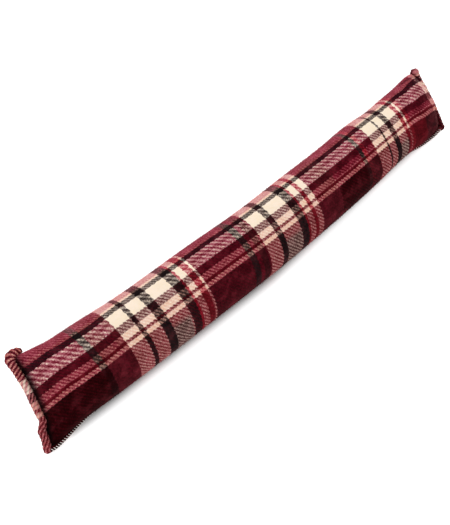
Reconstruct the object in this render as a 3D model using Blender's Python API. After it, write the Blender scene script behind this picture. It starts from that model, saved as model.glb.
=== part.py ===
"""Tartan draught excluder: a long stuffed tube of brushed cloth that lies along the foot of a door.

The cover is one filled solid, round along its middle and sewn flat across both ends. The raw edges
of each end are rolled into a thick oversewn welt, and the lengthwise seam keeps a narrow overlocked
edge. Metres, +Z up. X runs along the tube, -Y is its front, and it lies on the floor, z = 0.
"""

import math

import bmesh
import bpy
import numpy as np
from mathutils import Matrix, Vector

# ---------------------------------------------------------------- driving dimensions
GAP = 0.0004  # between pieces that are sewn together

COVER_SIDES = 56  # facets round the cover
COVER_STATIONS = 52  # rings of points along the cover
END_CROWDING = 0.80  # 0 spaces the rings evenly, towards 1 crowds them at the two ends
PUCKER_DEPTH = 0.0022  # of the gathers by an end seam
PUCKER_REACH = 0.045  # how far they run into the cover
PUCKER_COUNT = 9  # gathers round the whole of one end
PUCKER_FADE = 0.020  # cover half depth below which the gathers are pressed flat

WELT_RADIUS = 0.0066  # of the rolled edge across an end
WELT_KNOB = 1.30  # how much fatter the roll is where it ends, at the back corner
WELT_REACH = 0.0060  # how far the roll runs on past the cover's two corners
WELT_TIP = 0.35  # share of the radius left at its rounded tips
WELT_SIDES = 12
WELT_STATIONS = 30

EDGE_WIDTH = 0.0052  # of the overlocked edge, out from the cover
EDGE_FLARE = 0.5  # share by which it widens at the two corners
EDGE_FLARE_REACH = 0.030
EDGE_THICKNESS = 0.0030
EDGE_SIDES = 8
EDGE_STATIONS = 44
EDGE_START = 0.0030  # from an end seam to the edge's first ring

# The cover's sections, from the near end seam to the far one. A section is an ellipse that leans
# back by its tilt, so that its front tip is low and carries the lengthwise seam. Skew is how far
# along X the front tip stands from the section's middle, and tuck how far the middle is drawn in.
SECTION_COLUMNS = ("along", "half_width", "half_depth", "tilt", "across", "height", "skew", "tuck")
SECTIONS = (
    (-0.4235, 0.0700, 0.0045, 26.0, 0.0030, 0.0430, -0.0222, 0.0078),
    (-0.4120, 0.0702, 0.0170, 28.0, 0.0015, 0.0440, -0.0215, 0.0066),
    (-0.3980, 0.0685, 0.0300, 31.0, -0.0003, 0.0465, -0.0200, 0.0045),
    (-0.3750, 0.0665, 0.0450, 40.0, -0.0030, 0.0505, -0.0160, 0.0022),
    (-0.3350, 0.0650, 0.0565, 49.0, -0.0058, 0.0545, -0.0110, 0.0),
    (-0.2600, 0.0620, 0.0590, 50.0, -0.0090, 0.0550, -0.0100, 0.0),
    (-0.1000, 0.0606, 0.0592, 50.0, -0.0093, 0.0545, -0.0100, 0.0),
    (0.0000, 0.0592, 0.0580, 50.0, -0.0092, 0.0535, -0.0100, 0.0),
    (0.1000, 0.0591, 0.0577, 50.0, -0.0055, 0.0530, -0.0080, 0.0),
    (0.2000, 0.0577, 0.0565, 50.0, -0.0005, 0.0530, -0.0060, 0.0),
    (0.2600, 0.0572, 0.0560, 50.0, 0.0045, 0.0525, -0.0050, 0.0),
    (0.3200, 0.0539, 0.0520, 49.0, 0.0082, 0.0507, -0.0040, 0.0),
    (0.3600, 0.0549, 0.0500, 46.0, 0.0100, 0.0530, -0.0030, 0.0),
    (0.3850, 0.0568, 0.0480, 41.0, 0.0092, 0.0550, -0.0030, 0.0),
    (0.4100, 0.0574, 0.0350, 36.0, 0.0118, 0.0566, -0.0030, 0.0),
    (0.4270, 0.0560, 0.0190, 34.0, 0.0135, 0.0575, -0.0030, 0.0),
    (0.4350, 0.0540, 0.0050, 33.0, 0.0130, 0.0575, -0.0030, 0.0),
)


# ---------------------------------------------------------------- curves and surfaces
def section(along):
    """The section table read at a station, through a smooth curve in each column."""
    rows = np.array(SECTIONS)
    stations = rows[:, 0]
    slopes = np.gradient(rows, stations, axis=0)
    i = int(np.clip(np.searchsorted(stations, along) - 1, 0, len(stations) - 2))
    span = stations[i + 1] - stations[i]
    t = (along - stations[i]) / span
    row = (
        (2 * t**3 - 3 * t**2 + 1) * rows[i]
        + (t**3 - 2 * t**2 + t) * span * slopes[i]
        + (3 * t**2 - 2 * t**3) * rows[i + 1]
        + (t**3 - t**2) * span * slopes[i + 1]
    )
    return dict(zip(SECTION_COLUMNS, row))


def in_section(s, out, up):
    """A point of a section: out towards its front tip and up square to that, in metres."""
    lean = math.radians(s["tilt"])
    share = out / s["half_width"]
    x = s["along"] + s["skew"] * share + s["tuck"] * max(0.0, 1 - share**2)
    y = s["across"] - out * math.cos(lean) - up * math.sin(lean)
    z = s["height"] - out * math.sin(lean) + up * math.cos(lean)
    return np.array((x, y, z))


def on_cover(along, turn):
    """A point of the cover's surface. Turn is the angle round from the front tip, over the top."""
    s = section(along)
    to_seam = min(along - SECTIONS[0][0], SECTIONS[-1][0] - along)
    gather = PUCKER_DEPTH * math.exp(-((to_seam / PUCKER_REACH) ** 2)) * math.cos(PUCKER_COUNT * turn)
    deep = s["half_depth"] + gather * min(1.0, s["half_depth"] / PUCKER_FADE)
    point = in_section(s, s["half_width"] * math.cos(turn), deep * math.sin(turn))
    point[2] = max(point[2], 0.0)
    return point


def spaced(first, last, count, crowding):
    """Places from first to last that stand closer together towards both."""
    share = np.linspace(0.0, 1.0, count)
    eased = (1 - np.cos(math.pi * share)) / 2
    return first + (last - first) * ((1 - crowding) * share + crowding * eased)


def loft(name, rings, material):
    """One closed piece from rings of an even number of points, each end closed by a flat ladder."""
    count = len(rings[0])
    half = count // 2
    last = (len(rings) - 1) * count
    faces = []
    for i in range(len(rings) - 1):
        for j in range(count):
            k = (j + 1) % count
            faces.append((i * count + j, i * count + k, (i + 1) * count + k, (i + 1) * count + j))
    for base in (0, last):
        for j in range(half):
            rung = (j, j + 1, (count - j - 1) % count, (count - j) % count)
            faces.append([base + corner for corner in dict.fromkeys(rung)])
    mesh = bpy.data.meshes.new(name)
    mesh.from_pydata([tuple(point) for ring in rings for point in ring], [], faces)
    shell = bmesh.new()
    shell.from_mesh(mesh)
    bmesh.ops.recalc_face_normals(shell, faces=shell.faces)
    shell.to_mesh(mesh)
    shell.free()
    mesh.shade_smooth()
    mesh.materials.append(material)
    piece = bpy.data.objects.new(name, mesh)
    bpy.context.scene.collection.objects.link(piece)
    return piece


def fabric(name, colour, roughness):
    """A plain cloth material. The colour is linear."""
    material = bpy.data.materials.new(name)
    material.use_nodes = True
    shader = material.node_tree.nodes["Principled BSDF"]
    shader.inputs["Base Color"].default_value = (*colour, 1.0)
    shader.inputs["Roughness"].default_value = roughness
    shader.inputs["Metallic"].default_value = 0.0
    return material


# ---------------------------------------------------------------- pieces
def cover():
    """The stuffed tube of tartan cloth, with its flat underside where it lies on the floor."""
    places = spaced(SECTIONS[0][0], SECTIONS[-1][0], COVER_STATIONS, END_CROWDING)
    turns = np.linspace(0.0, 2 * math.pi, COVER_SIDES, endpoint=False)
    rings = [[on_cover(along, turn) for turn in turns] for along in places]
    return loft("cover", rings, fabric("brushed_tartan", (0.20, 0.02, 0.035), 0.90))


def end_welt(name, seam, outward, material):
    """The rolled edge beyond an end seam, with rounded tips and a fat knob at its back corner."""
    s = section(seam)
    beyond = s["half_width"] + WELT_REACH
    shares = spaced(1.0, -1.0, WELT_STATIONS, 0.6)
    core = np.array([in_section(s, beyond * share, 0.0) for share in shares])
    along = np.gradient(core, axis=0)
    along /= np.linalg.norm(along, axis=1)[:, None]
    rings = []
    for point, tangent, share in zip(core, along, shares):
        out = np.array((outward, 0.0, 0.0))
        out -= tangent * (out @ tangent)
        out /= np.linalg.norm(out)
        side = np.cross(tangent, out)
        full = WELT_RADIUS * (1 + (WELT_KNOB - 1) * ((1 - share) / 2) ** 6)
        short = max(0.0, 1 - beyond * (1 - abs(share)) / full)
        radius = full * max(WELT_TIP, math.sqrt(1 - short**2))
        centre = point + out * (full + GAP)
        centre[2] = max(centre[2], radius)
        rings.append([
            centre + radius * (out * math.cos(turn) + side * math.sin(turn))
            for turn in np.linspace(0.0, 2 * math.pi, WELT_SIDES, endpoint=False)
        ])
    return loft(name, rings, material)


def long_seam_edge():
    """The overlocked edge of the lengthwise seam, out from the cover's front tip all along."""
    first = SECTIONS[0][0] + EDGE_START
    last = SECTIONS[-1][0] - EDGE_START
    rings = []
    for along in spaced(first, last, EDGE_STATIONS, END_CROWDING):
        s = section(along)
        to_corner = min(along - first, last - along)
        half = EDGE_WIDTH / 2 * (1 + EDGE_FLARE * math.exp(-((to_corner / EDGE_FLARE_REACH) ** 2)))
        ring = []
        for turn in np.linspace(0.0, 2 * math.pi, EDGE_SIDES, endpoint=False):
            out = s["half_width"] + GAP + half * (1 + math.cos(turn))
            ring.append(in_section(s, out, EDGE_THICKNESS / 2 * math.sin(turn)))
        rings.append(ring)
    return loft("long_seam_edge", rings, fabric("overlocked_edge", (0.10, 0.012, 0.018), 0.92))


def centre_on_origin(pieces):
    """Moves the whole model so that its box stands on the origin, middle over it."""
    corners = np.array([vertex.co for piece in pieces for vertex in piece.data.vertices])
    low, high = corners.min(axis=0), corners.max(axis=0)
    shift = Vector((-(low[0] + high[0]) / 2, -(low[1] + high[1]) / 2, -low[2]))
    for piece in pieces:
        piece.data.transform(Matrix.Translation(shift))


for item in list(bpy.data.objects):
    bpy.data.objects.remove(item)

rolled = fabric("rolled_tartan", (0.30, 0.06, 0.07), 0.92)
centre_on_origin([
    cover(),
    end_welt("end_welt_near", SECTIONS[0][0], -1.0, rolled),
    end_welt("end_welt_far", SECTIONS[-1][0], 1.0, rolled),
    long_seam_edge(),
])
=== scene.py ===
import math

import bmesh
import bpy
import numpy as np
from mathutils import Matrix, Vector


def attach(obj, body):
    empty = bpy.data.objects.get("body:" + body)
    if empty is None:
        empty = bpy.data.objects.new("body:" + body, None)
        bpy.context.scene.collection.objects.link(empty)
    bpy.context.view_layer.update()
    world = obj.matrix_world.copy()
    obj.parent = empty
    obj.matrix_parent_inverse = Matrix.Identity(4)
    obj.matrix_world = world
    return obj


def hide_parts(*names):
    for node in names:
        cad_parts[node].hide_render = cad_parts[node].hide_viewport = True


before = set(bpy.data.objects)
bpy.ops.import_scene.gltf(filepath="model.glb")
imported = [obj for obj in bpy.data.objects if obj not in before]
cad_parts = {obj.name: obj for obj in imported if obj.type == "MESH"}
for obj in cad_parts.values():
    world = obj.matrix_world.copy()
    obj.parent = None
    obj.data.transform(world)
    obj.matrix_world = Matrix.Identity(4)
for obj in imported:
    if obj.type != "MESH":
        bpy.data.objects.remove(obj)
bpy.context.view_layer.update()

# ------------------------------------------------------------ where the eye stands
# A person standing at the draught excluder's near end looks down along it from the front left,
# from about 1.2 m away.
eye = bpy.data.cameras.new("eye")
eye.lens = 50.61
eye.sensor_width = 36.0
eye.clip_start = 0.05
eye.clip_end = 30.0
eye_stand = bpy.data.objects.new("eye", eye)
eye_stand.location = (-0.41513, -0.43459, 1.11365)
eye_stand.rotation_euler = Vector((0.29908, 0.35594, -0.88536)).to_track_quat("-Z", "Y").to_euler()
bpy.context.scene.collection.objects.link(eye_stand)
bpy.context.scene.camera = eye_stand

# ------------------------------------------------------------ the stuffed cover
# One rectangle of brushed twill tartan, sewn into a tube along its front edge, filled with loose
# fibre and sewn flat across both ends.

# A section is an ellipse that leans back by its tilt, so that its front tip is low and carries
# the lengthwise seam. Skew is how far along X that tip stands from the section's middle, and
# tuck how far the middle of an end is drawn in. Metres and degrees.
COVER_COLUMNS = ("along", "half_width", "half_depth", "tilt", "across", "height", "skew", "tuck")
COVER_SECTIONS = np.array((
    (-0.4235, 0.0700, 0.0045, 26.0, 0.0030, 0.0430, -0.0222, 0.0078),
    (-0.4120, 0.0702, 0.0170, 28.0, 0.0015, 0.0440, -0.0215, 0.0066),
    (-0.3980, 0.0685, 0.0300, 31.0, -0.0003, 0.0465, -0.0200, 0.0045),
    (-0.3750, 0.0665, 0.0450, 40.0, -0.0030, 0.0505, -0.0160, 0.0022),
    (-0.3350, 0.0650, 0.0565, 49.0, -0.0058, 0.0545, -0.0110, 0.0),
    (-0.2600, 0.0620, 0.0590, 50.0, -0.0090, 0.0550, -0.0100, 0.0),
    (-0.1000, 0.0606, 0.0592, 50.0, -0.0093, 0.0545, -0.0100, 0.0),
    (0.0000, 0.0592, 0.0580, 50.0, -0.0092, 0.0535, -0.0100, 0.0),
    (0.1000, 0.0591, 0.0577, 50.0, -0.0055, 0.0530, -0.0080, 0.0),
    (0.2000, 0.0577, 0.0565, 50.0, -0.0005, 0.0530, -0.0060, 0.0),
    (0.2600, 0.0572, 0.0560, 50.0, 0.0045, 0.0525, -0.0050, 0.0),
    (0.3200, 0.0539, 0.0520, 49.0, 0.0082, 0.0507, -0.0040, 0.0),
    (0.3600, 0.0549, 0.0500, 46.0, 0.0100, 0.0530, -0.0030, 0.0),
    (0.3850, 0.0568, 0.0480, 41.0, 0.0092, 0.0550, -0.0030, 0.0),
    (0.4100, 0.0574, 0.0350, 36.0, 0.0118, 0.0566, -0.0030, 0.0),
    (0.4270, 0.0560, 0.0190, 34.0, 0.0135, 0.0575, -0.0030, 0.0),
    (0.4350, 0.0540, 0.0050, 33.0, 0.0130, 0.0575, -0.0030, 0.0),
))
TABLE_MIDDLE = (0.00208, -0.00265, 0.0)  # from the table's origin to the middle under the whole object
NEAR_SEAM, FAR_SEAM = COVER_SECTIONS[0, 0], COVER_SECTIONS[-1, 0]


def section_at(along):
    """The section table read at stations, through a smooth curve in each column."""
    stations = COVER_SECTIONS[:, 0]
    slopes = np.gradient(COVER_SECTIONS, stations, axis=0)
    along = np.atleast_1d(along)
    i = np.clip(np.searchsorted(stations, along) - 1, 0, len(stations) - 2)
    span = (stations[i + 1] - stations[i])[:, None]
    t = (along - stations[i])[:, None] / span
    rows = (
        (2 * t**3 - 3 * t**2 + 1) * COVER_SECTIONS[i]
        + (t**3 - 2 * t**2 + t) * span * slopes[i]
        + (3 * t**2 - 2 * t**3) * COVER_SECTIONS[i + 1]
        + (t**3 - t**2) * span * slopes[i + 1]
    )
    return {name: rows[:, k] for k, name in enumerate(COVER_COLUMNS)}


def in_section(s, out, up):
    """Points of sections: out towards the front tip and up square to that, in metres."""
    lean = np.radians(s["tilt"])
    share = out / s["half_width"]
    to_back = np.maximum(0.0, (1 - share) / 2) ** 1.5
    pulled = NEAR_PULL * np.exp(-(((s["along"] - NEAR_SEAM) / NEAR_PULL_REACH) ** 2)) * to_back
    tuck = s["tuck"] + FAR_BULGE * np.exp(-(((FAR_SEAM - s["along"]) / FAR_BULGE_REACH) ** 2))
    x = s["along"] + s["skew"] * share + tuck * np.maximum(0.0, 1 - share**2) - pulled
    y = s["across"] - out * np.cos(lean) - up * np.sin(lean)
    z = s["height"] - out * np.sin(lean) + up * np.cos(lean)
    return np.stack((x, y, z), -1) + np.array(TABLE_MIDDLE)


def on_cover(along, turn):
    """Points of the cover's surface. Turn is the angle round from the front tip, over the top."""
    s = section_at(along)
    to_seam = np.minimum(along - NEAR_SEAM, FAR_SEAM - along)
    uneven = np.cos(GATHERS * turn + 1.1 * np.sin(3 * turn))
    uneven = uneven + 0.5 * np.cos(FINE_GATHERS * turn + 2.0 * np.sin(2 * turn))
    gather = GATHER_DEPTH * np.exp(-((to_seam / GATHER_REACH) ** 2)) * uneven
    groove = 1 - 0.75 * np.exp(-((to_seam / GROOVE_WIDTH) ** 2))
    deep = s["half_depth"] * groove + gather * np.minimum(1.0, s["half_depth"] / GATHER_FADE)
    return in_section(s, s["half_width"] * np.cos(turn), deep * np.sin(turn))


COVER_RINGS = 242
COVER_ROUND = 96
TIP_SHARE = 0.03  # metres to a radian: how much the points crowd to a flat section's two sharp tips
CROWDING = 0.35  # 0 spaces the rings evenly, towards 1 crowds them at the two ends
GATHERS = 9  # puckers round each end, from sewing the round tube flat
FINE_GATHERS = 17  # smaller ones between them
GATHER_DEPTH = 0.0020
GATHER_REACH = 0.045
GATHER_FADE = 0.02  # half depth of the cover below which they are pressed flat
GROOVE_WIDTH = 0.004  # of the sharp valley beside an end seam
NEAR_PULL = 0.0112  # how far the back of the near seam is drawn out, past the plain CAD shape
NEAR_PULL_REACH = 0.035
FAR_BULGE = 0.0085  # and how far the middle of the far seam bulges out past it
FAR_BULGE_REACH = 0.030
# How the lengthwise stripes run: at a place along X, how far they have slid to the front, and how
# wide they are. The cloth is drawn forward where the two ends are sewn flat. Millimetres.
STRIPE_RUN = np.array((
    (-450, 20.0, 1.10),
    (-400, 16.0, 1.06),
    (-350, 12.5, 1.00),
    (-300, 7.8, 0.99),
    (-270, 4.6, 1.01),
    (-250, 3.4, 1.03),
    (-190, 1.4, 1.02),
    (-80, -0.1, 1.01),
    (10, -0.2, 0.98),
    (180, 0.0, 0.95),
    (280, 0.3, 0.94),
    (330, 0.7, 0.935),
    (370, 3.3, 0.96),
    (400, 7.2, 1.00),
    (430, 16.1, 1.05),
    (455, 22.0, 1.06),
))
TOP_LINE = (26.0, 33.0)  # degrees forward of the top from where stripes are measured, near and far


def spaced(first, last, count, crowding):
    """Places from first to last that stand closer together towards both."""
    share = np.linspace(0.0, 1.0, count)
    eased = (1 - np.cos(math.pi * share)) / 2
    return first + (last - first) * ((1 - crowding) * share + crowding * eased)


def on_cloth(x, run):
    """Where a point lies on the flat cloth, in metres: along it, and across it from the top line.

    Run is the distance round the cover from the top line, towards the front. The crosswise
    threads bow a little, more at the near end.
    """
    x, run = x * 1000, np.clip(run * 1000, -130, 130)
    slid = np.interp(x, STRIPE_RUN[:, 0], STRIPE_RUN[:, 1])
    wide = np.interp(x, STRIPE_RUN[:, 0], STRIPE_RUN[:, 2])
    bow = (0.0007 - 0.0000012 * (x - 30)) * (np.clip(run, -95, 95) + 45 + 0.165 * (x - 30)) ** 2
    bow = bow + 3.5 * np.exp(-(((run - 5) / 30) ** 2)) * np.clip((x - 80) / 180, 0, 1)
    return np.stack((x + bow, (run - slid) / wide), -1) / 1000


def top_line(along):
    """The turn at which a section crosses the line that the stripes are measured from."""
    share = (along - NEAR_SEAM) / (FAR_SEAM - NEAR_SEAM)
    tilt = section_at(along)["tilt"][0]
    return math.radians(90 + tilt - TOP_LINE[0] - (TOP_LINE[1] - TOP_LINE[0]) * share)


def cover_ring(along):
    """A ring of evenly spaced points round the cover, and the place of each on the cloth."""
    fine = np.linspace(0.0, 2 * math.pi, 721)
    ring = on_cover(np.full(len(fine), along), fine)
    run = np.concatenate(([0.0], np.cumsum(np.linalg.norm(np.diff(ring, axis=0), axis=1))))
    even = run + TIP_SHARE * fine
    turn = np.interp(np.linspace(0.0, even[-1], COVER_ROUND + 1), even, fine)
    wanted = np.interp(turn, fine, run)
    origin = np.interp(top_line(along), fine, run)
    ring = on_cover(np.full(len(turn), along), turn)
    return ring[:-1], on_cloth(ring[:, 0], origin - wanted)


def lofted(name, points, cloth):
    """One closed mesh from rings of points, each end closed by a flat ladder, with its cloth map."""
    rings, sides = points.shape[:2]
    faces, corners = [], []
    for i in range(rings - 1):
        for j in range(sides):
            k = (j + 1) % sides
            faces.append((i * sides + j, (i + 1) * sides + j, (i + 1) * sides + k, i * sides + k))
            corners.append((cloth[i, j], cloth[i + 1, j], cloth[i + 1, j + 1], cloth[i, j + 1]))
    for i in (0, rings - 1):
        for j in range(sides // 2):
            rung = list(dict.fromkeys((j, j + 1, (sides - j - 1) % sides, (sides - j) % sides)))
            faces.append([i * sides + corner for corner in rung])
            corners.append([cloth[i, corner] for corner in rung])
    mesh = bpy.data.meshes.new(name)
    mesh.from_pydata(points.reshape(-1, 3).tolist(), [], faces)
    layer = mesh.uv_layers.new(name="cloth")
    layer.uv.foreach_set("vector", np.array([uv for face in corners for uv in face], np.float32).ravel())
    shell = bmesh.new()
    shell.from_mesh(mesh)
    bmesh.ops.recalc_face_normals(shell, faces=shell.faces)
    shell.to_mesh(mesh)
    shell.free()
    mesh.shade_smooth()
    piece = bpy.data.objects.new(name, mesh)
    bpy.context.scene.collection.objects.link(piece)
    return piece


def hex_colour(text):
    """An sRGB hex colour as linear light."""
    parts = [int(text[i : i + 2], 16) / 255 for i in (0, 2, 4)]
    return tuple(c / 12.92 if c <= 0.04045 else ((c + 0.055) / 1.055) ** 2.4 for c in parts)


def put(tree, kind, settings=None, inputs=None):
    """Adds one node, sets it up, and joins or fills its inputs. An input is a socket or a value."""
    node = tree.nodes.new(kind)
    for key, value in (settings or {}).items():
        setattr(node, key, value)
    for key, value in (inputs or {}).items():
        if isinstance(value, bpy.types.NodeSocket):
            tree.links.new(value, node.inputs[key])
        else:
            node.inputs[key].default_value = value
    return node


# The yarns. Brushing lifts their fibres into one another, so where two colours cross they mix
# like inks and not like lights.
YARN = {
    "cream": "FDEBD4",
    "pink": "E4AA95",
    "rose": "CC7C7C",
    # A red yarn, lightened by painted sheen.
    "brick_and_sheen": "C06A72",
    "scarlet": "8C1424",
    "ruby": "540E18",
    "claret": "460E16",
    "crimson": "570616",
    "wine": "540B12",
    "burgundy": "350B0F",
    "dark": "360B10",
    "deep": "230103",
    "black": "1A1213",
}
# Where each band of crosswise threads starts, in millimetres from the middle, and its yarn.
CROSSWISE = (
    (-470, "rose"), (-446, "crimson"), (-326, "black"), (-314, "ruby"), (-290, "crimson"), (-284, "ruby"),
    (-273, "cream"), (-244.8, "black"), (-237.3, "cream"), (-216.5, "black"), (-201.8, "cream"),
    (-166.5, "black"), (-152, "scarlet"), (-147.5, "cream"), (-136, "scarlet"), (-127, "cream"),
    (-120, "crimson"), (-38.5, "black"), (-27.3, "crimson"), (-19.5, "dark"), (-10.8, "crimson"),
    (-5.3, "cream"), (22, "black"), (33, "cream"), (67.3, "black"), (81.5, "scarlet"), (85, "cream"),
    (97, "scarlet"), (103.8, "cream"), (113.3, "crimson"), (131, "ruby"), (163, "crimson"),
    (231.5, "black"), (239, "scarlet"), (246, "crimson"), (265, "cream"),
    (288.8, "black"), (294.7, "cream"), (309.7, "black"), (322.2, "cream"), (338.3, "scarlet"),
    (346, "cream"), (352.3, "scarlet"), (360, "crimson"), (422, "rose"),
)
# The same for the lengthwise threads, from the back over the top to the front, with the share by
# which they cover the crosswise ones.
LENGTHWISE = (
    # The band over the back is a real red stripe, lightened to take in the sheen along the cover's back edge,
    # partly painted sheen.
    (-320, "brick_and_sheen", 0.6), (-67.7, "pink", 0.44), (-62.5, "black", 0.54), (-53.2, "cream", 0.55),
    (-30.5, "dark", 0.46), (-16.8, "pink", 0.41), (-7.7, "wine", 0.62), (-1.5, "pink", 0.55),
    (6.8, "wine", 0.6),
)
# The front of the cover is one wide band whose yarn and cover change along it.
FRONT = (
    (-470, "wine", 0.55), (-446, "deep", 0.85), (-314, "claret", 0.8), (-273, "wine", 0.6),
    (-244.8, "wine", 0.25), (-237.3, "wine", 0.6), (-216.5, "wine", 0.08), (-201.8, "wine", 0.62),
    (-166.5, "wine", 0.4), (-147.5, "wine", 0.66), (-136, "wine", 0.85), (-127, "wine", 0.66),
    (-120, "burgundy", 0.6), (-38.5, "dark", 0.4), (-5.3, "wine", 0.62), (22, "wine", 0.08),
    (33, "wine", 0.62), (67.3, "wine", 0.08), (81.5, "wine", 0.66), (97, "wine", 0.8),
    (103.8, "wine", 0.66), (113.3, "claret", 0.8), (163, "deep", 0.8), (231.5, "burgundy", 0.8),
    (265, "wine", 0.66), (288.8, "wine", 0.2), (294.7, "wine", 0.6), (309.7, "wine", 0.08),
    (322.2, "wine", 0.6), (346, "wine", 0.75), (390, "dark", 0.75),
)
FRONT_START = 6.8
# Three blocks of the front band change to black yarn, further down.
BLACK_BLOCKS = ((-201.8, -166.5), (33.0, 67.3), (322.2, 346.0))
BLACK_START = 22.0
BLACK_SHARE = 0.8  # of the block's yarn that is black
ACROSS_RANGE, ROUND_RANGE = (-480.0, 480.0), (-330.0, 330.0)
THREAD = 1.5  # millimetres from thread to thread
TWILL = (6.2, 7.8)  # the twill line's step along and round
WIDE_TWILL = (9.6, 10.8)  # in the wide cream band, whose yarn is thicker
WIDE_BAND = (-53.2, -30.5)
FAR_FADED_LINE = (-16.8, -7.7)  # a line that nearly drowns in the far half of the cover
WIDE_MIDDLE = (-44.5, -38.5)  # where its twill line breaks


def ramp(tree, order, limits, place):
    """A ramp in hard steps, that gives the yarn's colour and its share at a place in millimetres."""
    low, high = limits
    from_low = put(tree, "ShaderNodeMath", {"operation": "SUBTRACT"}, {0: place, 1: low}).outputs[0]
    share = put(tree, "ShaderNodeMath", {"operation": "DIVIDE"}, {0: from_low, 1: high - low}).outputs[0]
    node = put(tree, "ShaderNodeValToRGB", {}, {"Fac": share})
    node.color_ramp.interpolation = "CONSTANT"
    for i, (start, yarn, *cover_share) in enumerate(order):
        at = (start - low) / (high - low)
        step = node.color_ramp.elements[i] if i < 2 else node.color_ramp.elements.new(at)
        step.position = at
        step.color = (*hex_colour(YARN[yarn]), cover_share[0] if cover_share else 1.0)
    return node.outputs


def long_ramp(tree, order, limits, place):
    """The same for more bands than one ramp holds: one ramp for each half of the cover."""
    near = [row for row in order if row[0] < 0]
    far = [(limits[0], near[-1][1])] + [row for row in order if row[0] >= 0]
    halves = [ramp(tree, half, limits, place)["Color"] for half in (near, far)]
    is_far = put(tree, "ShaderNodeMath", {"operation": "GREATER_THAN"}, {0: place, 1: far[1][0]}).outputs[0]
    both = put(tree, "ShaderNodeMix", {"data_type": "RGBA"}, {0: is_far, 6: halves[0], 7: halves[1]})
    return both.outputs[2]


def within(tree, place, low, high):
    """1 between the two limits and 0 elsewhere."""
    above = put(tree, "ShaderNodeMath", {"operation": "GREATER_THAN"}, {0: place, 1: low}).outputs[0]
    below = put(tree, "ShaderNodeMath", {"operation": "LESS_THAN"}, {0: place, 1: high}).outputs[0]
    return put(tree, "ShaderNodeMath", {"operation": "MULTIPLY"}, {0: above, 1: below}).outputs[0]


def twill_wave(tree, thread_u, thread_v, step):
    """From 0 to 1 and back across each diagonal rib of the twill."""
    along = put(tree, "ShaderNodeMath", {"operation": "DIVIDE"}, {0: thread_u, 1: step[0]}).outputs[0]
    across = put(tree, "ShaderNodeMath", {"operation": "DIVIDE"}, {0: thread_v, 1: step[1]}).outputs[0]
    phase = put(tree, "ShaderNodeMath", {"operation": "SUBTRACT"}, {0: along, 1: across}).outputs[0]
    twice = put(tree, "ShaderNodeMath", {"operation": "MULTIPLY"}, {0: phase, 1: 2.0}).outputs[0]
    return put(tree, "ShaderNodeMath", {"operation": "PINGPONG"}, {0: twice, 1: 1.0}).outputs[0]


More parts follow.
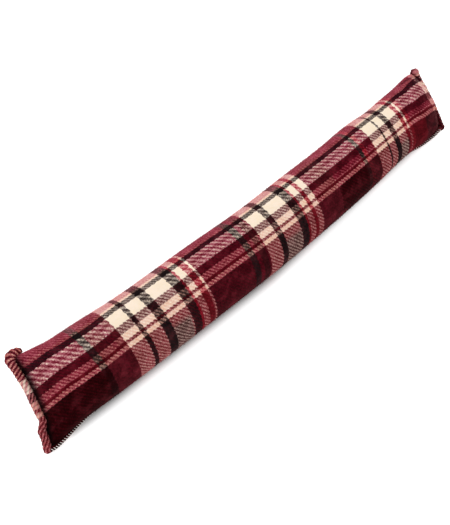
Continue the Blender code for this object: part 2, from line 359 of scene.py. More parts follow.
def brushed_tartan(name, contrast=0.55):
    """Brushed acrylic twill: matt, with a soft pile whose tips catch the light at the edges."""
    material = bpy.data.materials.new(name)
    material.use_nodes = True
    tree = material.node_tree
    shader = tree.nodes["Principled BSDF"]
    uv = put(tree, "ShaderNodeUVMap", {"uv_map": "cloth"}).outputs["UV"]
    mm = put(tree, "ShaderNodeVectorMath", {"operation": "SCALE"}, {0: uv, "Scale": 1000.0}).outputs[0]
    fuzz = put(tree, "ShaderNodeTexNoise", {}, {"Vector": mm, "Scale": 0.9, "Detail": 2.0})
    stray = put(tree, "ShaderNodeVectorMath", {"operation": "SUBTRACT"}, {
        0: fuzz.outputs["Color"], 1: (0.5, 0.5, 0.5)})
    stray = put(tree, "ShaderNodeVectorMath", {"operation": "SCALE"}, {0: stray.outputs[0], "Scale": 2.2})
    place = put(tree, "ShaderNodeVectorMath", {}, {0: mm, 1: stray.outputs[0]})
    split = put(tree, "ShaderNodeSeparateXYZ", {}, {"Vector": place.outputs[0]})
    u, v = split.outputs["X"], split.outputs["Y"]
    thread_u = put(tree, "ShaderNodeMath", {"operation": "SNAP"}, {0: u, 1: THREAD}).outputs[0]
    thread_v = put(tree, "ShaderNodeMath", {"operation": "SNAP"}, {0: v, 1: THREAD}).outputs[0]
    fine = twill_wave(tree, thread_u, thread_v, TWILL)
    wide = twill_wave(tree, thread_u, thread_v, WIDE_TWILL)
    in_wide = within(tree, v, *WIDE_BAND)
    wave = put(tree, "ShaderNodeMix", {}, {0: in_wide, 2: fine, 3: wide}).outputs[0]
    from_middle = put(tree, "ShaderNodeMath", {"operation": "SUBTRACT"}, {0: wave, 1: 0.5}).outputs[0]
    tooth = put(tree, "ShaderNodeMath", {"operation": "MULTIPLY"}, {0: from_middle, 1: 1.6}).outputs[0]
    u_read = put(tree, "ShaderNodeMath", {"operation": "ADD"}, {0: u, 1: tooth}).outputs[0]
    v_read = put(tree, "ShaderNodeMath", {"operation": "ADD"}, {0: v, 1: tooth}).outputs[0]
    weft = long_ramp(tree, CROSSWISE, ACROSS_RANGE, u_read)
    warp = ramp(tree, LENGTHWISE, ROUND_RANGE, v_read)
    front = ramp(tree, FRONT, ACROSS_RANGE, u_read)
    in_front = put(tree, "ShaderNodeMath", {"operation": "GREATER_THAN"}, {
        0: v_read, 1: FRONT_START}).outputs[0]
    blocks = [within(tree, u_read, *block) for block in BLACK_BLOCKS]
    in_block = blocks[0]
    for block in blocks[1:]:
        in_block = put(tree, "ShaderNodeMath", {"operation": "ADD"}, {0: in_block, 1: block}).outputs[0]
    below = put(tree, "ShaderNodeMapRange", {}, {
        "Value": v_read, "From Min": BLACK_START - 5, "From Max": BLACK_START + 5}).outputs[0]
    blackness = put(tree, "ShaderNodeMath", {"operation": "MULTIPLY"}, {0: in_block, 1: below}).outputs[0]
    blackness = put(tree, "ShaderNodeMath", {"operation": "MULTIPLY"}, {
        0: blackness, 1: BLACK_SHARE}).outputs[0]
    front_colour = put(tree, "ShaderNodeMix", {"data_type": "RGBA"}, {
        0: blackness, 6: front["Color"], 7: (*hex_colour(YARN["black"]), 1.0)}).outputs[2]
    warp_colour = put(tree, "ShaderNodeMix", {"data_type": "RGBA"}, {
        0: in_front, 6: warp["Color"], 7: front_colour}).outputs[2]
    base_share = put(tree, "ShaderNodeMix", {}, {
        0: in_front, 2: warp["Alpha"], 3: front["Alpha"]}).outputs[0]
    broken = put(tree, "ShaderNodeTexNoise", {}, {"Vector": mm, "Scale": 0.42, "Detail": 1.0})
    ragged = put(tree, "ShaderNodeMath", {"operation": "SUBTRACT"}, {
        0: broken.outputs["Fac"], 1: 0.5}).outputs[0]
    ragged = put(tree, "ShaderNodeMath", {"operation": "MULTIPLY"}, {0: ragged, 1: 0.9}).outputs[0]
    middle_row = within(tree, v, *WIDE_MIDDLE)
    thinned = put(tree, "ShaderNodeMath", {"operation": "MULTIPLY"}, {0: middle_row, 1: -0.16}).outputs[0]
    ragged = put(tree, "ShaderNodeMath", {"operation": "ADD"}, {0: ragged, 1: thinned}).outputs[0]
    faded_line = within(tree, v, *FAR_FADED_LINE)
    fading = put(tree, "ShaderNodeMath", {"operation": "MULTIPLY"}, {0: faded_line, 1: -0.24}).outputs[0]
    far_part = put(tree, "ShaderNodeMapRange", {}, {
        "Value": u, "From Min": 158.0, "From Max": 168.0}).outputs[0]
    fading = put(tree, "ShaderNodeMath", {"operation": "MULTIPLY"}, {0: fading, 1: far_part}).outputs[0]
    creamed = within(tree, u, 265.0, 352.0)
    uncreamed = put(tree, "ShaderNodeMath", {"operation": "SUBTRACT"}, {0: 1.0, 1: creamed}).outputs[0]
    fading = put(tree, "ShaderNodeMath", {"operation": "MULTIPLY"}, {0: fading, 1: uncreamed}).outputs[0]
    ragged = put(tree, "ShaderNodeMath", {"operation": "ADD"}, {0: ragged, 1: fading}).outputs[0]
    swing = put(tree, "ShaderNodeMath", {"operation": "MULTIPLY"}, {0: from_middle, 1: contrast}).outputs[0]
    share = put(tree, "ShaderNodeMath", {"operation": "ADD"}, {0: base_share, 1: swing}).outputs[0]
    share = put(tree, "ShaderNodeMath", {"operation": "ADD"}, {0: share, 1: ragged}).outputs[0]
    share = put(tree, "ShaderNodeClamp", {}, {"Value": share}).outputs[0]
    inks = [
        put(tree, "ShaderNodeGamma", {}, {"Color": yarn, "Gamma": 0.2}).outputs[0]
        for yarn in (weft, warp_colour)
    ]
    mixed = put(tree, "ShaderNodeMix", {"data_type": "RGBA"}, {0: share, 6: inks[0], 7: inks[1]}).outputs[2]
    colour = put(tree, "ShaderNodeGamma", {}, {"Color": mixed, "Gamma": 5.0}).outputs[0]
    nap = put(tree, "ShaderNodeTexNoise", {}, {
        "Vector": mm, "Scale": 0.28, "Detail": 5.0, "Roughness": 0.75})
    crushed = put(tree, "ShaderNodeTexNoise", {}, {
        "Vector": mm, "Scale": 0.05, "Detail": 3.0, "Roughness": 0.6})
    small = put(tree, "ShaderNodeMath", {"operation": "MULTIPLY"}, {
        0: nap.outputs["Fac"], 1: 0.6}).outputs[0]
    large = put(tree, "ShaderNodeMath", {"operation": "MULTIPLY"}, {
        0: crushed.outputs["Fac"], 1: 0.4}).outputs[0]
    mottle = put(tree, "ShaderNodeMath", {"operation": "ADD"}, {0: small, 1: large}).outputs[0]
    mottle = put(tree, "ShaderNodeMapRange", {}, {
        "Value": mottle, "From Min": 0.36, "From Max": 0.64, "To Min": -0.75, "To Max": 0.85}).outputs[0]
    # Dark yarn shows the crushed nap most, and cream hardly at all.
    room = put(tree, "ShaderNodeVectorMath", {"operation": "SUBTRACT"}, {
        0: (1.0, 1.0, 1.0), 1: colour}).outputs[0]
    room = put(tree, "ShaderNodeVectorMath", {"operation": "MULTIPLY"}, {0: room, 1: room}).outputs[0]
    tint = put(tree, "ShaderNodeVectorMath", {"operation": "SCALE"}, {0: room, "Scale": mottle}).outputs[0]
    colour = put(tree, "ShaderNodeVectorMath", {"operation": "MULTIPLY_ADD"}, {
        0: colour, 1: tint, 2: colour}).outputs[0]
    # Painted shade: the colour is darkened by up to 94 % where a point lies deep in a crease, a seam groove,
    # a stitch, or on the roll's side facing the cover.
    fold_shade = put(tree, "ShaderNodeAttribute", {"attribute_name": "fold_shade"}).outputs["Fac"]
    fold_shade_factor = put(tree, "ShaderNodeMath", {"operation": "MULTIPLY"}, {0: fold_shade, 1: 0.94}).outputs[0]
    fold_shade_factor = put(tree, "ShaderNodeMath", {"operation": "SUBTRACT"}, {0: 1.0, 1: fold_shade_factor}).outputs[0]
    # Painted sheen: in the random patches where the crushed nap stands up, a little reddish light is added to
    # the colour. The patches are the nap's own uneven lie, and the light added on them is painted.
    tips = put(tree, "ShaderNodeMapRange", {}, {
        "Value": crushed.outputs["Fac"], "From Min": 0.50, "From Max": 0.75})
    colour = put(tree, "ShaderNodeVectorMath", {"operation": "MULTIPLY_ADD"}, {
        0: (0.040, 0.006, 0.008), 1: tips.outputs[0], 2: colour}).outputs[0]
    colour = put(tree, "ShaderNodeVectorMath", {"operation": "SCALE"}, {
        0: colour, "Scale": fold_shade_factor}).outputs[0]
    tree.links.new(colour, shader.inputs["Base Color"])
    grain = put(tree, "ShaderNodeTexNoise", {}, {"Vector": mm, "Scale": 1.6, "Detail": 3.0})
    ribs = put(tree, "ShaderNodeMath", {"operation": "MULTIPLY"}, {0: wave, 1: 0.5}).outputs[0]
    height = put(tree, "ShaderNodeMath", {"operation": "ADD"}, {
        0: ribs, 1: grain.outputs["Fac"]}).outputs[0]
    bump = put(tree, "ShaderNodeBump", {}, {"Height": height, "Distance": 0.0006, "Strength": 0.6})
    tree.links.new(bump.outputs["Normal"], shader.inputs["Normal"])
    shader.inputs["Roughness"].default_value = 1.0
    shader.inputs["Specular IOR Level"].default_value = 0.02
    shader.inputs["Sheen Weight"].default_value = 0.025
    shader.inputs["Sheen Roughness"].default_value = 0.45
    shader.inputs["Sheen Tint"].default_value = (*hex_colour("FFC8C8"), 1.0)
    return material


def swell(piece, pinned, loose):
    """Blows the cover up as cloth, held at the pinned points, with slack where loose is above 0."""
    start = np.empty(len(piece.data.vertices) * 3, np.float32)
    piece.data.vertices.foreach_get("co", start)
    start = start.reshape(-1, 3)
    held = piece.vertex_groups.new(name="sewn")
    slack = piece.vertex_groups.new(name="slack")
    for i in pinned:
        held.add([int(i)], 1.0, "REPLACE")
    for i, weight in enumerate(loose):
        slack.add([i], float(weight), "REPLACE")
    cloth = piece.modifiers.new("cloth", "CLOTH")
    cloth.settings.quality = 5
    cloth.settings.mass = 0.3
    cloth.settings.tension_stiffness = 20.0
    cloth.settings.compression_stiffness = 20.0
    cloth.settings.bending_stiffness = 0.4
    cloth.settings.vertex_group_mass = "sewn"
    cloth.settings.vertex_group_shrink = "slack"
    cloth.settings.shrink_min = 0.0
    cloth.settings.shrink_max = CLOTH_SLACK
    cloth.settings.use_pressure = True
    cloth.settings.uniform_pressure_force = CLOTH_PRESSURE
    cloth.settings.effector_weights.gravity = 0.0
    cloth.point_cache.frame_start = 1
    cloth.point_cache.frame_end = CLOTH_FRAMES
    scene = bpy.context.scene
    for step in range(1, CLOTH_FRAMES + 1):
        scene.frame_set(step)
    blown = piece.evaluated_get(bpy.context.evaluated_depsgraph_get())
    end = np.empty_like(start.ravel())
    blown.data.vertices.foreach_get("co", end)
    piece.modifiers.remove(cloth)
    scene.frame_set(1)
    move = end.reshape(-1, 3) - start
    far = np.linalg.norm(move, axis=1, keepdims=True)
    move *= np.minimum(1.0, CLOTH_LIMIT / np.maximum(far, 1e-9))
    piece.vertex_groups.clear()
    return start + move


def settled_on_floor(piece):
    """Nothing goes through the floor: what would is laid flat on it."""
    points = np.empty(len(piece.data.vertices) * 3, np.float32)
    piece.data.vertices.foreach_get("co", points)
    points[2::3] = np.maximum(points[2::3], 0.0)
    piece.data.vertices.foreach_set("co", points)
    piece.data.update()


def finished(piece, levels):
    """The piece's mesh with its smooth subdivision made real."""
    smooth = piece.modifiers.new("smooth", "SUBSURF")
    smooth.levels = smooth.render_levels = levels
    made = bpy.data.meshes.new_from_object(piece.evaluated_get(bpy.context.evaluated_depsgraph_get()))
    piece.modifiers.remove(smooth)
    piece.data = made
    made.shade_smooth()


CLOTH_PRESSURE = 4.0
CLOTH_FRAMES = 20
CLOTH_SLACK = -0.05  # how much longer the cloth is by the ends, where it is gathered
CLOTH_LIMIT = 0.007  # metres that a point of it may move
COVER_INSET = 0.0025  # how much smaller the cover starts than it ends

places = spaced(NEAR_SEAM, FAR_SEAM, COVER_RINGS, CROWDING)
rings = [cover_ring(along) for along in places]
full = np.array([ring for ring, _ in rings])
to_seam = np.minimum(places - NEAR_SEAM, FAR_SEAM - places)
spoke = full - full.mean(axis=1, keepdims=True)
spoke /= np.linalg.norm(spoke, axis=2, keepdims=True)
inset = COVER_INSET * np.clip(to_seam / 0.05, 0.0, 1.0)
cover_points = full - spoke * inset[:, None, None]
cover_points[..., 2] = np.maximum(cover_points[..., 2], 0.0)
cover_cloth = np.array([cloth for _, cloth in rings])
cover = lofted("stuffed_cover", cover_points, cover_cloth)


def creased(cloth):
    """How deep each point lies in a crease, from 0 to 1, by its place on the cloth in metres."""
    mm = np.asarray(cloth)[..., :2] * 1000
    deep = np.zeros(mm.shape[:-1])
    for first, last, wide, strength in CREASES:
        first, run = np.array(first), np.array(last) - np.array(first)
        share = np.clip(((mm - first) @ run) / (run @ run), 0.0, 1.0)
        away = np.linalg.norm(mm - first - share[..., None] * run, axis=-1)
        fading = np.sin(math.pi * (0.15 + 0.85 * share))
        deep = np.maximum(deep, strength * fading * np.exp(-((away / wide) ** 2)))
    return deep


def store_fold_shade(piece, deep):
    """Keeps how deep each point lies in a crease, groove or stitch, as painted shade that darkens the cloth's
    colour there.
    """
    layer = piece.data.attributes.new("fold_shade", "FLOAT", "POINT")
    layer.data.foreach_set("value", np.asarray(deep, np.float32).ravel())


# Creases that the packing left in the cloth: where each starts and ends, along and across the
# cloth in millimetres, its half width, and how deep it is from 0 to 1. Each is pressed into the
# shape and also painted darker there, as painted shade.
CREASES = (
    ((392, -80), (444, -60), 2.2, 0.9),
    ((-452, -66), (-425, -78), 3.0, 0.8),
    ((-440, 30), (-390, 44), 3.0, 0.35),
    ((-438, 62), (-398, 70), 3.0, 0.4),
    ((380, 26), (432, 34), 3.0, 0.3),
    ((372, -24), (436, -10), 3.0, 0.25),
    ((-441, -26), (-414, -22), 2.5, 0.35),
)
CREASE_DEPTH = 0.0024


def evened(field, along_rings, round_points):
    """A field over the cover's grid, smoothed by a soft brush that wraps round the cover."""
    for axis, width, mode in ((0, along_rings, "edge"), (1, round_points, "wrap")):
        reach = int(3 * width)
        brush = np.exp(-0.5 * (np.arange(-reach, reach + 1) / width) ** 2)
        pad = [(reach, reach) if k == axis else (0, 0) for k in range(field.ndim)]
        padded = np.pad(field, pad, mode=mode)
        field = np.apply_along_axis(np.convolve, axis, padded, brush / brush.sum(), "valid")
    return field


ring_of = np.repeat(np.arange(COVER_RINGS), COVER_ROUND)
pinned = np.flatnonzero((ring_of == 0) | (ring_of == COVER_RINGS - 1))
loose = np.exp(-((to_seam[ring_of] / 0.05) ** 2))
blown = swell(cover, pinned, loose).reshape(full.shape)
off = ((blown - full) * spoke).sum(axis=2)
# Free swelling also shrinks the outline a little, so only the folds that it leaves are kept.
folds = off - evened(off, 7.0, 5.0)
settled = full + spoke * folds[..., None]
settled[..., 2] = np.maximum(settled[..., 2], 0.0)
cover.data.vertices.foreach_set("co", settled.astype(np.float32).ravel())
cover.data.update()
full_creases = creased(cover_cloth[:, :-1])
shaped = np.empty(full.size, np.float32)
cover.data.vertices.foreach_get("co", shaped)
shaped = shaped.reshape(full.shape) - spoke * (CREASE_DEPTH * full_creases)[..., None]
shaped[..., 2] = np.maximum(shaped[..., 2], 0.0)
cover.data.vertices.foreach_set("co", shaped.astype(np.float32).ravel())
# Painted shade along the valley beside each end seam, full at the near seam and weaker at the far one,
# together with painted shade in the creases.
near_groove_shade = np.exp(-((np.maximum(0.0, places - NEAR_SEAM - 0.003) / 0.0065) ** 2))
far_groove_shade = 0.35 * np.exp(-(((FAR_SEAM - places) / 0.004) ** 2))
store_fold_shade(cover, np.maximum(full_creases, (near_groove_shade + far_groove_shade)[:, None]))
finished(cover, 1)
tartan = brushed_tartan("brushed_twill_tartan")
cover.data.materials.append(tartan)
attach(cover, "root")
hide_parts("cover")

# ------------------------------------------------------------ the rolled welts across the ends
# Past each end seam the two layers' raw edges are rolled together into a thick cord of cloth and
# oversewn. It ends in a fat knob at the back corner. It is the same tartan, running on.
WELT_RADIUS = 0.0066
WELT_KNOB = 1.45
WELT_REACH = 0.0060
WELT_TIP = 0.55
WELT_OVERLAP = 0.0034  # how far the roll laps over the end of the cover
WELT_RINGS = 150
WELT_SIDES = 22
WELT_RIB = 0.0062  # metres from one oversewing stitch to the next
WELT_RIB_DEPTH = 0.16  # share of the radius that a stitch bites in
WELT_HOOK = 0.012  # metres that the near roll runs on after its bend at the back corner
HOOK_BEND = 0.0105  # radius of that bend
HOOK_TURN = 98.0  # degrees
KNOB_SHARE = -0.50  # beyond it the near roll shows one hatched line of the cloth
KNOB_LINE = -0.0122  # the middle of that line, across the cloth
KNOB_WRAP = 0.0042  # half the width of it that goes round the roll
KNOB_CLOTH = 0.262  # where along the cloth it would start, at the roll's front tip
WELT_SEED = 5


def end_welt(name, seam, outward, radius_at, front_reach, hook, kinks, cloth_at):
    """A roll of cloth along an end seam. Kinks are places down it and how far it stands out there."""
    s = section_at(seam)
    half = s["half_width"][0]
    back_reach = half + (-0.006 if hook else WELT_REACH)
    shares = spaced((half + front_reach) / half, -back_reach / half, WELT_RINGS, 0.3)
    one = np.ones(WELT_RINGS)
    core = in_section({key: value * one for key, value in s.items()}, half * shares, 0.0)
    outward_by = np.interp(-shares, *np.array(kinks).T)
    core[:, 0] += outward * (radius_at - WELT_OVERLAP + outward_by)
    # The hook: at the back corner the roll turns in along the cover.
    if hook:
        direction = core[-1] - core[-2]
        direction /= np.linalg.norm(direction)
        inward = np.array((-outward, 0.0, -0.25))
        inward -= direction * (inward @ direction)
        inward /= np.linalg.norm(inward)
        turn = np.linspace(0.0, math.radians(HOOK_TURN), 26)[1:]
        curve = np.sin(turn)[:, None] * direction + (1 - np.cos(turn))[:, None] * inward
        bend = core[-1] + HOOK_BEND * curve
        leaving = np.cos(turn[-1]) * direction + np.sin(turn[-1]) * inward
        straight = bend[-1] + np.linspace(0.0, hook, 22)[1:, None] * leaving
        core = np.concatenate((core, bend, straight))
        shares = np.concatenate((shares, shares[-1] - np.linspace(0.0, 0.35, 46)))
    tangent = np.gradient(core, axis=0)
    tangent /= np.linalg.norm(tangent, axis=1, keepdims=True)
    run = np.concatenate(([0.0], np.cumsum(np.linalg.norm(np.diff(core, axis=0), axis=1))))
    turns = np.linspace(0.0, 2 * math.pi, WELT_SIDES + 1)
    wobble = np.random.default_rng(WELT_SEED)
    lumps = np.interp(run, np.linspace(0, run[-1], 14), wobble.uniform(-1, 1, 14))
    points, cloth, folds = [], [], []
    square = np.array((outward, 0.0, 0.0))
    for i, share in enumerate(shares):
        out = square - tangent[i] * (square @ tangent[i])
        out /= np.linalg.norm(out)
        square = out
        side = np.cross(tangent[i], out)
        knob_at = run[-1] - 1.6 * hook
        fat = 1 + (WELT_KNOB - 1) * math.exp(-(((run[i] - knob_at) / 0.010) ** 2))
        to_tip = min(run[i], run[-1] - run[i]) / (radius_at * fat)
        radius = radius_at * fat * max(WELT_TIP, math.sqrt(max(0.0, 1 - max(0.0, 1 - to_tip) ** 2)))
        phase = math.pi * run[i] / WELT_RIB + 0.5 * outward * turns
        bite = (1 - np.abs(np.sin(phase))) ** 1.5
        rib = 1.03 + 0.05 * lumps[i] - WELT_RIB_DEPTH * bite
        centre = core[i].copy()
        centre[2] = max(centre[2], radius)
        round_it = out * np.cos(turns)[:, None] + side * np.sin(turns)[:, None]
        ring = centre + radius * rib[:, None] * round_it
        points.append(ring[:-1])
        # Painted shade: darker where a stitch bites in and on the side of the roll that faces the cover.
        roll_inner_shade = np.clip(-np.cos(turns), 0.0, 1.0) ** 3
        folds.append(np.maximum(0.55 * bite, 0.7 * roll_inner_shade)[:-1])
        place = on_cloth(np.full(len(turns), core[i, 0]), half * share)
        place[:, 0] = outward * (cloth_at + radius * turns)
        if hook and share < KNOB_SHARE:
            place[:, 0] = outward * (KNOB_CLOTH + run[i])
            place[:, 1] = KNOB_LINE + KNOB_WRAP * np.cos(turns)
        cloth.append(place)
    welt = lofted(name, np.array(points), np.array(cloth))
    store_fold_shade(welt, np.array(folds))
    return welt


NEAR_WELT_CLOTH = 0.4465  # where along the cloth each roll starts
FAR_WELT_CLOTH = 0.3950
NEAR_KINKS = (
    (-1.1, 0.0), (-0.8, 0.001), (-0.62, 0.0040), (-0.46, -0.0030),
    (-0.3, 0.0), (0.0, 0.002), (0.5, 0.0022), (1.2, 0.002),
)
FAR_KINKS = (
    (-1.2, 0.0025), (-0.9, 0.0), (-0.5, -0.0022), (0.0, -0.0030), (0.6, -0.0018), (1.2, 0.0060),
)
FAR_WELT_RADIUS = 0.95 * WELT_RADIUS
FAR_WELT_REACH = 0.009
rolled = brushed_tartan("rolled_twill_tartan", 1.2)
for name, node, seam, outward, radius, front_reach, hook, kinks, cloth_at in (
    ("rolled_welt_near", "end_welt_near", NEAR_SEAM, -1.0, WELT_RADIUS, WELT_REACH, WELT_HOOK, NEAR_KINKS,
     NEAR_WELT_CLOTH),
    ("rolled_welt_far", "end_welt_far", FAR_SEAM, 1.0, FAR_WELT_RADIUS, FAR_WELT_REACH, 0.0, FAR_KINKS,
     FAR_WELT_CLOTH),
):
    welt = end_welt(name, seam, outward, radius, front_reach, hook, kinks, cloth_at)
    finished(welt, 1)
    welt.data.materials.append(rolled)
    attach(welt, "root")
    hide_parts(node)

# ------------------------------------------------------------ the overlocked long seam
# Along the low front edge the two raw edges of the cloth stand out as a narrow flat flange,
# trimmed and bound by an overlock machine with white thread.
EDGE_WIDTH = 0.0052
EDGE_FLARE = 1.0  # share by which it widens at the two corners
EDGE_FLARE_REACH = 0.030
EDGE_LIFT = 0.95  # radians that it turns up there
EDGE_LIFT_REACH = 0.050
EDGE_THICKNESS = 0.0030
EDGE_RINGS = 420
EDGE_SIDES = 12
EDGE_ROOT = 0.0005  # metres that it starts inside the cover's tip
EDGE_CLOTH = 0.085  # where across the cloth it lies
edge_places = spaced(NEAR_SEAM, FAR_SEAM, EDGE_RINGS, 0.5)
edge_section = section_at(edge_places)
to_corner = np.minimum(edge_places - NEAR_SEAM, FAR_SEAM - edge_places)
edge_half = EDGE_WIDTH / 2 * (1 + EDGE_FLARE * np.exp(-((to_corner / EDGE_FLARE_REACH) ** 2)))
edge_lift = EDGE_LIFT * np.exp(-((to_corner / EDGE_LIFT_REACH) ** 2))
edge_turns = np.linspace(0.0, 2 * math.pi, EDGE_SIDES + 1)


def on_edge(out, up):
    """Points of the flange: out from the seam across it, and up square to it, in metres."""
    return in_section(
        edge_section,
        edge_section["half_width"] - EDGE_ROOT + out * np.cos(edge_lift) - up * np.sin(edge_lift),
        out * np.sin(edge_lift) + up * np.cos(edge_lift),
    )


points, cloth = [], []
for turn in edge_turns:
    ring = on_edge(edge_half * (1 + math.cos(turn)), EDGE_THICKNESS / 2 * math.sin(turn))
    ring[:, 2] = np.maximum(ring[:, 2], 0.0)
    points.append(ring)
    cloth.append(on_cloth(ring[:, 0], np.full(len(ring), EDGE_CLOTH + 0.004 * math.cos(turn))))
edge_points, edge_cloth = np.array(points[:-1]).transpose(1, 0, 2), np.array(cloth).transpose(1, 0, 2)
seam_edge = lofted("overlocked_seam_edge", edge_points, edge_cloth)
seam_edge.data.materials.append(brushed_tartan("overlocked_twill_edge"))
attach(seam_edge, "root")
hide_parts("long_seam_edge")


def geometry_tree(name, inputs):
    """A Geometry Nodes tree with a mesh in, a mesh out, and named number inputs with their defaults."""
    tree = bpy.data.node_groups.new(name, "GeometryNodeTree")
    tree.interface.new_socket("Geometry", in_out="INPUT", socket_type="NodeSocketGeometry")
    for label, kind, value in inputs:
        socket = tree.interface.new_socket(label, in_out="INPUT", socket_type=kind)
        if value is not None:
            socket.default_value = value
    tree.interface.new_socket("Geometry", in_out="OUTPUT", socket_type="NodeSocketGeometry")
    return tree, tree.nodes.new("NodeGroupInput"), tree.nodes.new("NodeGroupOutput")


def grown(name, source, tree, values):
    """Runs a tree on a copy of source's mesh and keeps the result as a plain mesh object."""
    piece = bpy.data.objects.new(name, source.data.copy())
    bpy.context.scene.collection.objects.link(piece)
    grow = piece.modifiers.new("grow", "NODES")
    grow.node_group = tree
    for socket in tree.interface.items_tree:
        if socket.in_out == "INPUT" and socket.name in values:
            grow[socket.identifier] = values[socket.name]
    made = bpy.data.meshes.new_from_object(piece.evaluated_get(bpy.context.evaluated_depsgraph_get()))
    piece.modifiers.remove(grow)
    piece.data = made
    return piece


# The overlock thread: loops of white polyester that wrap the flange's raw edge, one for each step
# of the machine, from the needle line on top round to the one below.
STITCH_STEP = 0.0042
STITCH_THREAD = 0.00056  # radius
STITCH_REACH = 0.0034  # from the flange's edge back to the needle line


def stitch_mesh():
    """One loop of thread round an edge that points along +X, with the seam along Z."""
    arc = np.linspace(-math.pi / 2, math.pi / 2, 6)
    half = EDGE_THICKNESS / 2 + 0.7 * STITCH_THREAD
    path = [(-STITCH_REACH, -half, -0.3 * STITCH_STEP)]
    path += [(half * 0.5 * math.cos(a), half * math.sin(a), 0.05 * STITCH_STEP * math.sin(a)) for a in arc]
    path += [(-STITCH_REACH, half, 0.3 * STITCH_STEP)]
    path = np.array(path)
    tangent = np.gradient(path, axis=0)
    tangent /= np.linalg.norm(tangent, axis=1, keepdims=True)
    verts, faces = [], []
    for i, (point, way) in enumerate(zip(path, tangent)):
        side = np.array((0.0, 0.0, 1.0)) - way * way[2]
        side /= np.linalg.norm(side)
        up = np.cross(way, side)
        for a in (0.0, math.pi / 2, math.pi, 3 * math.pi / 2):
            verts.append(point + STITCH_THREAD * (side * math.cos(a) + up * math.sin(a)))
        if i:
            for j in range(4):
                k = (j + 1) % 4
                faces.append((4 * i - 4 + j, 4 * i - 4 + k, 4 * i + k, 4 * i + j))
    last = 4 * len(path) - 4
    faces += [(3, 2, 1, 0), (last, last + 1, last + 2, last + 3)]
    mesh = bpy.data.meshes.new("overlock_loop")
    mesh.from_pydata([tuple(point) for point in verts], [], faces)
    shell = bmesh.new()
    shell.from_mesh(mesh)
    bmesh.ops.recalc_face_normals(shell, faces=shell.faces)
    shell.to_mesh(mesh)
    shell.free()
    return mesh


def stitch_tree():
    """Sets a loop on every point of the edge, turned along it."""
    tree, given, result = geometry_tree("overlock_stitches", (
        ("Loop", "NodeSocketObject", None),
        ("Size", "NodeSocketFloat", 1.0),
        ("Finish", "NodeSocketMaterial", None),
    ))
    loop = put(tree, "GeometryNodeObjectInfo", {}, {"Object": given.outputs["Loop"]})
    out = put(tree, "GeometryNodeInputNamedAttribute", {"data_type": "FLOAT_VECTOR"}, {"Name": "out"})
    run = put(tree, "GeometryNodeInputNamedAttribute", {"data_type": "FLOAT_VECTOR"}, {"Name": "run"})
    facing = put(tree, "FunctionNodeAxesToRotation", {"primary_axis": "Z", "secondary_axis": "X"}, {
        0: run.outputs["Attribute"], 1: out.outputs["Attribute"]})
    loops = put(tree, "GeometryNodeInstanceOnPoints", {}, {
        "Points": given.outputs["Geometry"], "Instance": loop.outputs["Geometry"],
        "Rotation": facing.outputs[0], "Scale": given.outputs["Size"]})
    real = put(tree, "GeometryNodeRealizeInstances", {}, {"Geometry": loops.outputs[0]})
    done = put(tree, "GeometryNodeSetMaterial", {}, {
        "Geometry": real.outputs[0], "Material": given.outputs["Finish"]})
    tree.links.new(done.outputs[0], result.inputs[0])
    return tree


def spun_thread(name, colour):
    """Spun polyester thread: matt, nearly white, a little grey where the plies shade each other."""
    material = bpy.data.materials.new(name)
    material.use_nodes = True
    tree = material.node_tree
    shader = tree.nodes["Principled BSDF"]
    place = put(tree, "ShaderNodeTexCoord").outputs["Object"]
    plies = put(tree, "ShaderNodeTexNoise", {}, {"Vector": place, "Scale": 1500.0, "Detail": 1.0})
    shade = put(tree, "ShaderNodeMapRange", {}, {"Value": plies.outputs["Fac"], "To Min": 0.8, "To Max": 1.1})
    tone = put(tree, "ShaderNodeVectorMath", {"operation": "SCALE"}, {
        0: hex_colour(colour), "Scale": shade.outputs[0]})
    tree.links.new(tone.outputs[0], shader.inputs["Base Color"])
    shader.inputs["Roughness"].default_value = 0.75
    return material


edge_tip = on_edge(2 * edge_half, 0.0)
edge_root = on_edge(np.zeros(EDGE_RINGS), 0.0)
edge_tip[:, 2] = np.maximum(edge_tip[:, 2], EDGE_THICKNESS / 2 + STITCH_THREAD)
edge_run = np.concatenate(([0.0], np.cumsum(np.linalg.norm(np.diff(edge_tip, axis=0), axis=1))))
stitch_at = np.arange(0.004, edge_run[-1] - 0.003, STITCH_STEP)
stitch_point = np.stack([np.interp(stitch_at, edge_run, edge_tip[:, k]) for k in range(3)], 1)
stitch_out = np.stack([np.interp(stitch_at, edge_run, (edge_tip - edge_root)[:, k]) for k in range(3)], 1)
stitch_way = np.gradient(stitch_point, axis=0)
stitch_path = bpy.data.meshes.new("stitch_path")
stitch_path.from_pydata(stitch_point.tolist(), [], [])
for label, vectors in (("out", stitch_out), ("run", stitch_way)):
    unit = vectors / np.linalg.norm(vectors, axis=1, keepdims=True)
    layer = stitch_path.attributes.new(label, "FLOAT_VECTOR", "POINT")
    layer.data.foreach_set("vector", unit.astype(np.float32).ravel())
loop_object = bpy.data.objects.new("overlock_loop", stitch_mesh())
bpy.context.scene.collection.objects.link(loop_object)
path_object = bpy.data.objects.new("stitch_path", stitch_path)
stitches = grown("overlock_stitches", path_object, stitch_tree(), {
    "Loop": loop_object, "Size": 1.0, "Finish": spun_thread("spun_polyester_thread", "FBF6F0")})
bpy.data.objects.remove(path_object)
bpy.data.objects.remove(loop_object)
settled_on_floor(stitches)
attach(stitches, "root")

# ------------------------------------------------------------ the brushed pile
# Wire rollers pluck fibre ends out of the yarn, so that the whole cloth wears a short soft nap
# that leans along the cover and stands out against the light at its edges.
PILE_LENGTH = 0.0024
PILE_WIDTH = 0.00032
PILE_DENSITY = 170000.0  # fibres to the square metre, far fewer and thicker than in the real nap
PILE_FLOOR = 0.002  # metres above the floor where it starts


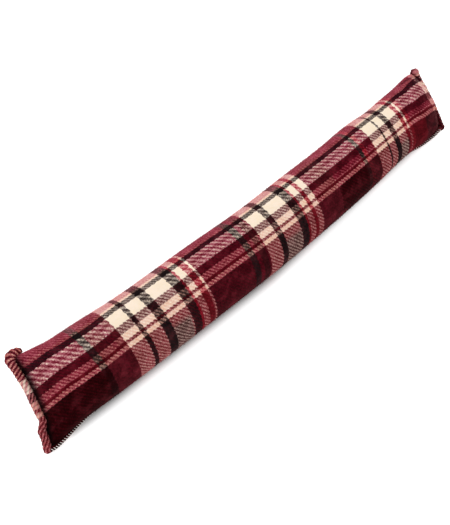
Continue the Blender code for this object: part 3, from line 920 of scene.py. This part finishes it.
def fibre_mesh():
    """One fibre: a thin three-sided spike, bent over, one metre long before it is scaled."""
    wide = PILE_WIDTH / PILE_LENGTH / 2
    foot = [(wide * math.cos(a), wide * math.sin(a), -0.05) for a in (0.0, 2.09, 4.19)]
    mesh = bpy.data.meshes.new("fibre")
    mesh.from_pydata(foot + [(0.55, 0.0, 0.83)], [], [(0, 2, 1), (0, 1, 3), (1, 2, 3), (2, 0, 3)])
    return mesh


def pile_tree():
    """Scatters leaning fibres over a mesh, above the floor, each in the colour of its spot."""
    tree, given, result = geometry_tree("brushed_pile", (
        ("Density", "NodeSocketFloat", PILE_DENSITY),
        ("Length", "NodeSocketFloat", PILE_LENGTH),
        ("Floor", "NodeSocketFloat", PILE_FLOOR),
        ("Fibre", "NodeSocketObject", None),
        ("Seed", "NodeSocketInt", 7),
        ("Finish", "NodeSocketMaterial", None),
    ))
    spot = put(tree, "GeometryNodeInputPosition").outputs[0]
    height = put(tree, "ShaderNodeSeparateXYZ", {}, {0: spot}).outputs["Z"]
    above = put(tree, "FunctionNodeCompare", {"data_type": "FLOAT", "operation": "GREATER_THAN"}, {
        0: height, 1: given.outputs["Floor"]})
    spots = put(tree, "GeometryNodeDistributePointsOnFaces", {}, {
        "Mesh": given.outputs["Geometry"], "Selection": above.outputs[0],
        "Density": given.outputs["Density"], "Seed": given.outputs["Seed"]})
    fibre = put(tree, "GeometryNodeObjectInfo", {}, {"Object": given.outputs["Fibre"]})
    lean = put(tree, "FunctionNodeRandomValue", {"data_type": "FLOAT_VECTOR"}, {
        0: (-0.45, -0.45, -3.14), 1: (0.45, 0.45, 3.14), "Seed": given.outputs["Seed"]})
    turned = put(tree, "FunctionNodeRotateRotation", {"rotation_space": "LOCAL"}, {
        0: spots.outputs["Rotation"], 1: lean.outputs[0]})
    size = put(tree, "FunctionNodeRandomValue", {"data_type": "FLOAT"}, {
        2: 0.55, 3: 1.25, "Seed": given.outputs["Seed"]})
    long = put(tree, "ShaderNodeMath", {"operation": "MULTIPLY"}, {
        0: size.outputs[1], 1: given.outputs["Length"]})
    tufts = put(tree, "GeometryNodeInstanceOnPoints", {}, {
        "Points": spots.outputs["Points"], "Instance": fibre.outputs["Geometry"],
        "Rotation": turned.outputs[0], "Scale": long.outputs[0]})
    real = put(tree, "GeometryNodeRealizeInstances", {}, {"Geometry": tufts.outputs[0]})
    cloth = put(tree, "GeometryNodeInputNamedAttribute", {"data_type": "FLOAT_VECTOR"}, {"Name": "cloth"})
    mapped = put(tree, "GeometryNodeStoreNamedAttribute", {"data_type": "FLOAT2", "domain": "CORNER"}, {
        "Geometry": real.outputs[0], "Name": "cloth", "Value": cloth.outputs["Attribute"]})
    done = put(tree, "GeometryNodeSetMaterial", {}, {
        "Geometry": mapped.outputs[0], "Material": given.outputs["Finish"]})
    tree.links.new(done.outputs[0], result.inputs[0])
    return tree


fibre = bpy.data.objects.new("fibre", fibre_mesh())
bpy.context.scene.collection.objects.link(fibre)
pile = grown("brushed_pile", cover, pile_tree(), {
    "Fibre": fibre, "Finish": tartan, "Density": PILE_DENSITY})
bpy.data.objects.remove(fibre)
settled_on_floor(pile)
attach(pile, "root")

# ------------------------------------------------------------ the floor and the light
# A plain white board under soft studio light from above. It glows evenly, like a light table, which is
# painted light, but for a strip under and beside the cover, which is a painted shadow: so it reads as white
# and the shadow stays short.
FLOOR_HALF = 20.0
SHADE_MIDDLE = (0.005, -0.028, 0.0)  # of the strip that doesn't glow
SHADE_HALF = (0.405, 0.026, 0.0)
SHADE_FADE = 0.021  # metres over which the glow comes up beyond it
SHADE_SLANT = -0.036  # how far its line has moved across, at SLANT_END along
SLANT_END = 0.42
BOARD_GLOW = 0.8
floor_mesh = bpy.data.meshes.new("floor")
floor_corners = [(-1, -1, 0), (1, -1, 0), (1, 1, 0), (-1, 1, 0)]
floor_mesh.from_pydata([(FLOOR_HALF * x, FLOOR_HALF * y, z) for x, y, z in floor_corners], [], [(0, 1, 2, 3)])
floor = bpy.data.objects.new("floor", floor_mesh)
bpy.context.scene.collection.objects.link(floor)
paint = bpy.data.materials.new("glowing_board_painted_shadow")
paint.use_nodes = True
board = paint.node_tree
board_shader = board.nodes["Principled BSDF"]
on_board = put(board, "ShaderNodeTexCoord").outputs["Object"]
along_board = put(board, "ShaderNodeSeparateXYZ", {}, {"Vector": on_board}).outputs["X"]
slant = put(board, "ShaderNodeMapRange", {}, {
    "Value": along_board, "From Min": 0.0, "From Max": SLANT_END, "To Max": SHADE_SLANT})
slanted = put(board, "ShaderNodeCombineXYZ", {}, {"Y": slant.outputs[0]}).outputs[0]
on_board = put(board, "ShaderNodeVectorMath", {}, {0: on_board, 1: slanted}).outputs[0]
from_middle = put(board, "ShaderNodeVectorMath", {"operation": "SUBTRACT"}, {0: on_board, 1: SHADE_MIDDLE})
from_middle = put(board, "ShaderNodeVectorMath", {"operation": "ABSOLUTE"}, {0: from_middle.outputs[0]})
beyond = put(board, "ShaderNodeVectorMath", {"operation": "SUBTRACT"}, {
    0: from_middle.outputs[0], 1: SHADE_HALF})
beyond = put(board, "ShaderNodeVectorMath", {"operation": "MAXIMUM"}, {
    0: beyond.outputs[0], 1: (0.0, 0.0, 0.0)})
away = put(board, "ShaderNodeVectorMath", {"operation": "LENGTH"}, {0: beyond.outputs[0]}).outputs["Value"]
# Painted light and painted shadow: the board glows beyond the strip and not within it.
glow = put(board, "ShaderNodeMapRange", {"interpolation_type": "SMOOTHSTEP"}, {
    "Value": away, "From Min": 0.0, "From Max": SHADE_FADE, "To Max": BOARD_GLOW}).outputs[0]
board_shader.inputs["Base Color"].default_value = (0.6, 0.6, 0.6, 1)
board_shader.inputs["Emission Color"].default_value = (1, 1, 1, 1)
board.links.new(glow, board_shader.inputs["Emission Strength"])
board_shader.inputs["Roughness"].default_value = 0.8
floor_mesh.materials.append(paint)

world = bpy.data.worlds.new("studio")
world.use_nodes = True
world.node_tree.nodes["Background"].inputs["Color"].default_value = (1, 1, 1, 1)
world.node_tree.nodes["Background"].inputs["Strength"].default_value = 0.66
bpy.context.scene.world = world
bpy.context.scene.view_settings.view_transform = "Standard"
sky_panel = bpy.data.lights.new("sky_panel", "SUN")
sky_panel.angle = math.radians(40)
sky_panel.energy = 1.15
sky_panel_stand = bpy.data.objects.new("sky_panel", sky_panel)
sky_panel_stand.rotation_euler = Vector((0.10, -0.28, -1.0)).to_track_quat("-Z", "Y").to_euler()
bpy.context.scene.collection.objects.link(sky_panel_stand)
